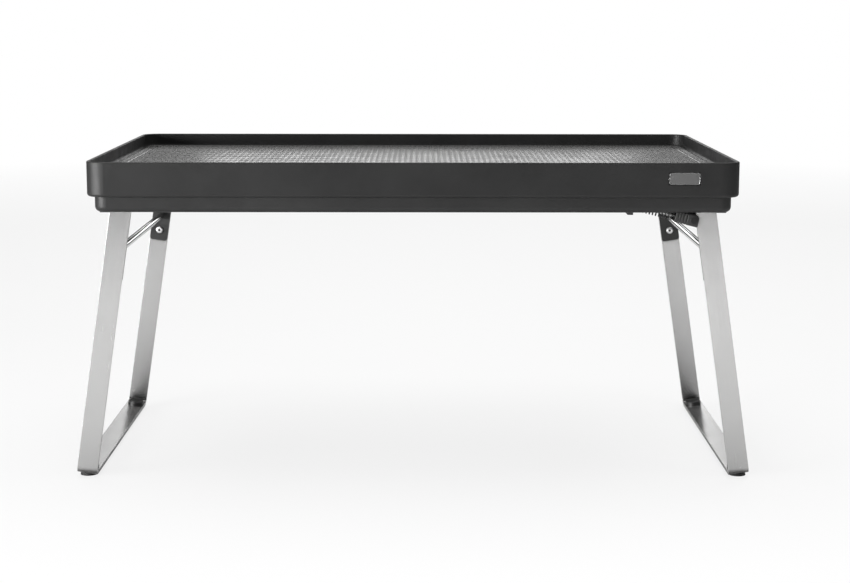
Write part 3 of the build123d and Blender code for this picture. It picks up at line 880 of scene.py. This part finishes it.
# %% Fill between the honeycomb and the groove
def fill_margin():
    """Triangles between the honeycomb's ragged edge and the groove."""
    seen = {}
    for face in mat_faces:
        for a, b in zip(face, face[1:] + face[:1]):
            key = (min(a, b), max(a, b))
            seen[key] = seen.get(key, 0) + 1
    ragged = [key for key, uses in seen.items() if uses == 1]
    used = sorted({index for key in ragged for index in key})
    to_local = {index: k for k, index in enumerate(used)}
    flat = [Vector(mat_points[index][:2]) for index in used]
    outline = rounded_outline(field_half_x, field_half_y, field_corner)
    first = len(flat)
    flat += [Vector(point) for point in outline]
    edges = [(to_local[a], to_local[b]) for a, b in ragged]
    edges += [(first + k, first + (k + 1) % len(outline)) for k in range(len(outline))]
    found = geometry.delaunay_2d_cdt(flat, edges, [], 0, 1e-7)
    vertices, faces, origins = found[0], found[2], found[3]
    tree = kdtree.KDTree(len(cells))
    for k, (x, y, _) in enumerate(cells):
        tree.insert((x, y, 0.0), k)
    tree.balance()
    home = {}
    for k, source in enumerate(origins):
        old = [s for s in source if s < first]
        if old:
            home[k] = used[old[0]]
        else:
            home[k] = len(mat_points)
            mat_points.append((vertices[k].x, vertices[k].y, mat_high.z))
    added = 0
    for face in faces:
        centre = sum((vertices[k] for k in face), Vector((0.0, 0.0))) / len(face)
        _, nearest, _ = tree.find((centre.x, centre.y, 0.0))
        if not cells[nearest][2]:
            mat_faces.append(tuple(home[k] for k in face))
            added += 1
    return added


print("margin triangles:", fill_margin())

# %% Border, groove and underside, then weld
def mat_border_rows():
    """Outlines from the underside up, over the border and into the groove."""
    top, bottom = mat_high.z, mat_low.z
    round_over, side_gap, sunk = 0.8 * MM, 0.8 * MM, 0.30 * MM
    steps = [(side_gap, bottom), (side_gap, top - round_over)]
    for k in range(1, 5):
        turn = math.radians(90 * k / 4)
        inset = side_gap + round_over * (1 - math.cos(turn))
        steps.append((inset, top - round_over * (1 - math.sin(turn))))
    steps += [(3.2 * MM, top), (4.2 * MM, top - sunk), (border_width - 2.4 * MM, top - sunk)]
    for along, below in ((-1.9, 0.25), (-1.4, 0.05), (-0.9, 0.0), (-0.4, 0.12), (-0.1, 0.4)):
        steps.append((border_width + along * MM, top - below * MM))
    lip = 0.12 * MM
    steps += [
        (border_width + lip, top - groove_depth),
        (border_width + groove_width - lip, top - groove_depth),
        (border_width + groove_width - lip / 2, top - lip),
        (border_width + groove_width, top),
    ]
    rows = []
    for inset, height in steps:
        radius = max(field_corner, mat_corner - inset)
        outline = rounded_outline(mat_half_x - inset, mat_half_y - inset, radius)
        rows.append([(x, y, height) for x, y in outline])
    return rows


work = bmesh.new()
rim_tag = work.verts.layers.int.new("dimple_rim")
loft(work, mat_border_rows(), close_last=False)
verts = [work.verts.new(point) for point in mat_points]
for index, vert in enumerate(verts):
    vert[rim_tag] = 1 if index in rim_set else 0
for face in mat_faces:
    work.faces.new([verts[k] for k in face])
bmesh.ops.remove_doubles(
    work, verts=[v for v in work.verts if v.is_boundary], dist=0.02 * MM
)
bmesh.ops.recalc_face_normals(work, faces=work.faces)
for face in work.faces:
    face.smooth = True
for edge in work.edges:
    rim_edge = all(v[rim_tag] for v in edge.verts)
    bent = len(edge.link_faces) == 2 and edge.calc_face_angle() > math.radians(40)
    edge.smooth = not (rim_edge or bent)
bmesh.ops.translate(work, vec=(mat_centre.x, mat_centre.y, 0.0), verts=work.verts)
open_edges = sum(1 for edge in work.edges if len(edge.link_faces) != 2)
mat_mesh = bpy.data.meshes.new("dimpled_mat")
work.to_mesh(mat_mesh)
work.free()
mat_mesh.materials.append(finishes["mat_rubber"])
piece_from(mat_mesh, "dimpled_mat", "tray", "mat_rubber", "rubber_mat")
print("mat:", len(mat_mesh.polygons), "faces,", open_edges, "open edges")

# %% [markdown]
# ## The strut's own axes
#
# Each strut runs from an anchor pin under the tray to a pin on the bracket's ear.
# Both pins are CAD nodes, so their middles give the line. A matrix places pieces
# that are built lying along X, with the anchor at the origin.

# %% Where the struts lie
def strut_matrix(side):
    """Axes of a strut: X along it from the anchor, Y across, Z above it."""
    anchor = middle("anchor_pin_" + side)
    pin = middle("toggle_pin_" + side)
    line = Vector((pin.x - anchor.x, 0.0, pin.z - anchor.z))
    along = line.normalized()
    up = Vector((0.0, 0.0, 1.0)) - along * along.z
    up.normalize()
    across = up.cross(along)
    turn = Matrix((along, across, up)).transposed().to_4x4()
    return Matrix.Translation(anchor) @ turn, line.length


strut_place = {}
for side in SIDES:
    strut_place[side], strut_length = strut_matrix(side)
    print(side, "strut", round(strut_length / MM, 2), "mm")

# %% [markdown]
# ## The springs
#
# A compression spring is round wire wound in a helix, with its last coils closed and
# ground flat so that it stands square on the collar. In CAD it is a plain tube. Here
# a small circle is swept along the helix: the pitch tightens at both ends, and each
# end's wire is cut by flattening the points that pass the end face.

# %% Wind a spring
spring_start = 7.5 * MM
sleeve_mouth = strut_length - 17.5 * MM
coil_radius = 4.30 * MM
wire_radius = 0.62 * MM
coil_turns = 13.0
closed_turns = 1.0
closed_gap = 1.02  # rise of a closed coil, in wire thicknesses
ground_off = 0.1 * MM
turn_steps, wire_steps = 26, 8


def spring_mesh(name, place):
    length = sleeve_mouth - spring_start - 2 * wire_radius
    rise_closed = 2 * wire_radius * closed_gap
    free_turns = coil_turns - 2 * closed_turns
    rise_free = (length - 2 * closed_turns * rise_closed) / free_turns
    centres, travelled = [], spring_start + wire_radius
    total = int(coil_turns * turn_steps)
    for k in range(total + 1):
        angle = 2 * math.pi * k / turn_steps
        across, above = coil_radius * math.cos(angle), coil_radius * math.sin(angle)
        centres.append(Vector((travelled, across, above)))
        turn = (k + 0.5) / turn_steps
        closed = turn < closed_turns or turn > coil_turns - closed_turns
        travelled += (rise_closed if closed else rise_free) / turn_steps
    work = bmesh.new()
    rows = []
    for k, centre in enumerate(centres):
        ahead = centres[min(k + 1, total)] - centres[max(k - 1, 0)]
        ahead.normalize()
        outward = Vector((0.0, centre.y, centre.z)).normalized()
        side_way = ahead.cross(outward).normalized()
        row = []
        for step in range(wire_steps):
            turn = 2 * math.pi * step / wire_steps
            offset = outward * math.cos(turn) + side_way * math.sin(turn)
            point = centre + offset * wire_radius
            point.x = min(max(point.x, spring_start + ground_off), sleeve_mouth - ground_off)
            row.append(place @ point)
        rows.append(row)
    loft(work, rows)
    return finished_mesh(work, name, [finishes["spring_steel"]], 60.0)


for side in SIDES:
    mesh = spring_mesh(side + "_strut_spring", strut_place[side])
    piece_from(mesh, mesh.name, "guide_" + side, "spring_steel", "toggle_spring_" + side)
    print(mesh.name, len(mesh.polygons), "faces")

# %% [markdown]
# ## The ribbed strut ends
#
# The strut's far end is a square nylon sleeve. The rod slides in its open mouth and
# a pin passes through its tail. The real one has moulded ribs round it for grip and
# stiffness, so it is lofted from outlines that step in and out along the strut. The
# tail's upper edge is rounded well back to clear the tray when the leg is folded.

# %% Loft a strut end
sleeve_half = 5.5 * MM
mouth_chamfer = 0.4 * MM
rib_in = 0.55 * MM
tail_length = 4.5 * MM
tail_round = 3.4 * MM
bore_radius = 3.9 * MM
bore_length = 13.0 * MM


def sleeve_outline(half, crown):
    """Outline across the strut; crown is how far its top lies below half."""
    points = rounded_outline(half, half - crown / 2, 1.3 * MM, steps=4)
    return [(y, z - crown / 2) for y, z in points]


def sleeve_mesh(name, place):
    end = strut_length + tail_length
    stations = [
        (sleeve_mouth, sleeve_half - mouth_chamfer, 0.0),
        (sleeve_mouth + mouth_chamfer, sleeve_half, 0.0),
    ]
    first_rib, rib_pitch, rib_count = sleeve_mouth + 2.2 * MM, 2.7 * MM, 4
    for rib in range(rib_count):
        start = first_rib + rib * rib_pitch
        stations += [
            (start, sleeve_half, 0.0),
            (start + 0.25 * MM, sleeve_half - rib_in, 0.0),
            (start + 1.15 * MM, sleeve_half - rib_in, 0.0),
            (start + 1.40 * MM, sleeve_half, 0.0),
        ]
    stations.append((end - tail_round, sleeve_half, 0.0))
    for k in range(1, 6):
        turn = math.radians(90 * k / 5)
        crown = tail_round * (1 - math.cos(turn))
        stations.append((end - tail_round * (1 - math.sin(turn)), sleeve_half, crown))
    rows = []
    for along, half, crown in stations:
        rows.append([place @ Vector((along, y, z)) for y, z in sleeve_outline(half, crown)])
    work = bmesh.new()
    outer = loft(work, rows, close_first=False)
    count = len(outer[0])
    bore = []
    for y, z in sleeve_outline(sleeve_half, 0.0):
        angle = math.atan2(z, y)
        bore.append((bore_radius * math.cos(angle), bore_radius * math.sin(angle)))
    inner_rows = [
        [place @ Vector((along, y, z)) for y, z in bore]
        for along in (sleeve_mouth, sleeve_mouth + bore_length)
    ]
    inner = loft(work, inner_rows, close_first=False)
    for i in range(count):
        j = (i + 1) % count
        work.faces.new((outer[0][i], outer[0][j], inner[0][j], inner[0][i]))
    return finished_mesh(work, name, [finishes["hinge_nylon"]], 30.0)


for side in SIDES:
    mesh = sleeve_mesh(side + "_strut_end", strut_place[side])
    piece_from(mesh, mesh.name, "sleeve_" + side, "hinge_nylon", "spring_sleeve_" + side)
    print(mesh.name, len(mesh.polygons), "faces")

# %% [markdown]
# ## The badge
#
# A small plate sits in a recess near one end of the front. It has a thin bright rim
# and a grey enamelled field set a little lower, and a hair of the recess shows dark
# all round it. This badge is left blank. It is lofted from rounded outlines.

# %% Loft the badge
def build_badge():
    low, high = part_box("badge_plate")
    gap = 0.75 * MM
    half_x, half_z = (high.x - low.x) / 2 - gap, (high.z - low.z) / 2 - gap
    centre = middle("badge_plate")
    front, back = low.y, high.y
    rim, drop, soft = 0.45 * MM, 0.18 * MM, 0.12 * MM
    steps = [
        (0.0, back), (0.0, front + soft), (soft, front), (rim, front),
        (rim + soft, front + drop), (rim + 0.5 * MM, front + drop),
    ]
    rows = []
    for inset, depth in steps:
        radius = max(0.5 * MM, 1.5 * MM - inset)
        outline = rounded_outline(half_x - inset, half_z - inset, radius)
        rows.append([(centre.x + x, depth, centre.z + z) for x, z in outline])
    work = bmesh.new()
    made = loft(work, rows)
    field = {v for row in made[-2:] for v in row}
    for face in work.faces:
        face.material_index = 1 if all(v in field for v in face.verts) else 0
    return finished_mesh(work, "badge", [finishes["badge_rim"], finishes["badge_enamel"]], 40.0)


badge_mesh = build_badge()
piece_from(badge_mesh, "blank_badge", "tray", "badge_enamel", "badge_plate")
print("badge:", len(badge_mesh.polygons), "faces")

# %% [markdown]
# ## A pale floor
#
# The floor is a broad sheet of near-white paper. It is not part of the table. It gets
# a faint cloud in its tone and roughness, since a perfectly even floor looks cut out,
# and it fades away two metres out, so that no hard horizon shows behind the table. To
# the camera it also glows a little, like paper on a light table, which thins the
# shadows; the steel sees the paper alone.
# From below it is clear, so that the table's underside can be looked at.

# %% Floor
floor_half, floor_corner = 14.0, 6.0
fade_start, fade_end = 2.0, 3.4
glow_share = 0.8


def paper_floor():
    material, tree, shader = bare_material("pale_paper", Metallic=0.0)
    mark_node = place_group(tree, mark_group, {"Mark Scale": 1.3})
    body = blend_colour(tree, mark_node.outputs["Marks"], grey(0.70), grey(0.72))
    tree.links.new(body, shader.inputs["Base Color"])
    roughness = ranged(tree, mark_node.outputs["Marks"], 0.75, 0.85)
    tree.links.new(roughness, shader.inputs["Roughness"])
    shader.inputs["Specular IOR Level"].default_value = 0.2
    place = put(tree, "ShaderNodeTexCoord").outputs["Object"]
    far = put(tree, "ShaderNodeVectorMath", {0: place}, operation="LENGTH").outputs["Value"]
    fade = put(
        tree, "ShaderNodeMapRange",
        {"Value": far, "From Min": fade_start, "From Max": fade_end, "To Min": 1.0,
         "To Max": 0.0},
    )
    below = put(tree, "ShaderNodeNewGeometry").outputs["Backfacing"]
    seen_from_above = put(
        tree, "ShaderNodeMath", {0: fade.outputs["Result"], 1: below}, operation="SUBTRACT",
        use_clamp=True,
    )
    tree.links.new(seen_from_above.outputs[0], shader.inputs["Alpha"])
    glow = put(tree, "ShaderNodeEmission", {"Color": (1.0, 1.0, 1.0, 1.0), "Strength": 1.0})
    ray = put(tree, "ShaderNodeLightPath").outputs["Is Camera Ray"]
    above = put(tree, "ShaderNodeMath", {0: ray, 1: below}, operation="SUBTRACT", use_clamp=True)
    share = put(
        tree, "ShaderNodeMath", {0: above.outputs[0], 1: glow_share}, operation="MULTIPLY"
    )
    both = put(
        tree, "ShaderNodeMixShader",
        {0: share.outputs[0], 1: shader.outputs[0], 2: glow.outputs[0]},
    )
    surface = tree.nodes.get("Material Output")
    tree.links.new(both.outputs[0], surface.inputs["Surface"])
    work = bmesh.new()
    outline = rounded_outline(floor_half, floor_half, floor_corner)
    work.faces.new([work.verts.new((x, y, 0.0)) for x, y in outline])
    mesh = finished_mesh(work, "paper_floor", [material])
    floor = bpy.data.objects.new("paper_floor", mesh)
    scene.collection.objects.link(floor)


paper_floor()
print("floor laid")

# %% [markdown]
# ## Soft studio light
#
# Steel and black plastic mostly show what stands round them, so the room is laid out
# for its reflections. A dim room keeps the rods and edges dark on one side, and six
# lights do the rest:
#
# - A wide box overhead lights the tray and the floor.
# - A box in front lights the floor there. An upright steel bar shows that floor,
#   bright from far out at its top and darker from close by at its foot.
# - A small fill on the right lifts the sides that face it. Neither of these two is
#   mirrored itself.
# - A long panel behind is mirrored by the round cross rods.
# - A lower, narrower panel behind skims the mat, so that the lands between the
#   dimples shine.
# - A narrow-beamed box on the left draws the highlight on the corner.
#
# The world looks white to the camera alone; a Light Path node tells the two apart.

# %% World and softboxes
def white_room(seen, felt):
    """A world that the camera sees at one strength and surfaces feel at another."""
    world = bpy.data.worlds.new("white_room")
    world.use_nodes = True
    tree = world.node_tree
    tree.nodes.clear()
    shades = [
        put(tree, "ShaderNodeBackground", {"Color": (1.0, 1.0, 1.0, 1.0), "Strength": level})
        for level in (felt, seen)
    ]
    ray = put(tree, "ShaderNodeLightPath").outputs["Is Camera Ray"]
    both = put(
        tree, "ShaderNodeMixShader",
        {0: ray, 1: shades[0].outputs[0], 2: shades[1].outputs[0]},
    )
    put(tree, "ShaderNodeOutputWorld", {"Surface": both.outputs[0]})
    scene.world = world


def softbox(name, place, aim, width, height, power, spread=180.0):
    light = bpy.data.lights.new(name, "AREA")
    light.shape = "RECTANGLE"
    light.size, light.size_y = width, height
    light.energy = power
    light.spread = math.radians(spread)
    holder = bpy.data.objects.new(name, light)
    scene.collection.objects.link(holder)
    holder.location = place
    direction = Vector(aim) - Vector(place)
    holder.rotation_euler = direction.to_track_quat("-Z", "Y").to_euler()
    holder.visible_camera = False
    return holder


white_room(1.0, 0.07)
softbox("overhead_box", (0.0, 0.5, 2.4), (0.0, 0.3, 0.0), 3.2, 2.6, 66.0)
floor_box = softbox("front_floor_box", (0.3, -1.7, 1.4), (0.3, -1.7, 0.0), 2.6, 0.9, 27.0, 110.0)
right_fill = softbox("right_fill", (1.6, -1.0, 0.7), (0.2, 0.0, 0.0), 0.8, 0.6, 9.0)
floor_box.visible_glossy = right_fill.visible_glossy = False
softbox("back_panel", (0.0, 3.2, 1.28), (0.0, 0.0, 0.4), 5.0, 0.70, 12.0)
softbox("mat_panel", (0.0, 3.2, 0.66), (0.0, 0.0, 0.3), 1.2, 0.56, 5.0)
softbox("left_box", (-1.6, -1.1, 0.36), (-0.3, -0.18, 0.31), 1.3, 0.5, 9.0, 60.0)
scene.view_settings.view_transform = "Standard"

# %% [markdown]
# ## The camera
#
# A long lens a little under two metres in front, at about table height and a half,
# looking slightly down: the near rim and the far rim of the tray show as two close
# lines, and the legs taper only a little.

# %% Camera
lens_length = 75.578824  # millimetres, for a sensor 36 mm wide
camera_data = bpy.data.cameras.new("camera")
camera_data.sensor_width = 36.0
camera_data.lens = lens_length
camera = bpy.data.objects.new("camera", camera_data)
scene.collection.objects.link(camera)
camera.location = (0.00906, -1.80216, 0.44576)
tilt_down, turn_right, roll = 0.15979, 0.00126, 0.00122
facing = Euler((math.pi / 2 - tilt_down, 0.0, -turn_right)).to_matrix()
camera.rotation_euler = (facing @ Matrix.Rotation(roll, 3, "Z")).to_euler()
camera_data.clip_start, camera_data.clip_end = 0.05, 100.0
scene.camera = camera
print("lens", round(camera_data.lens, 1), "mm")
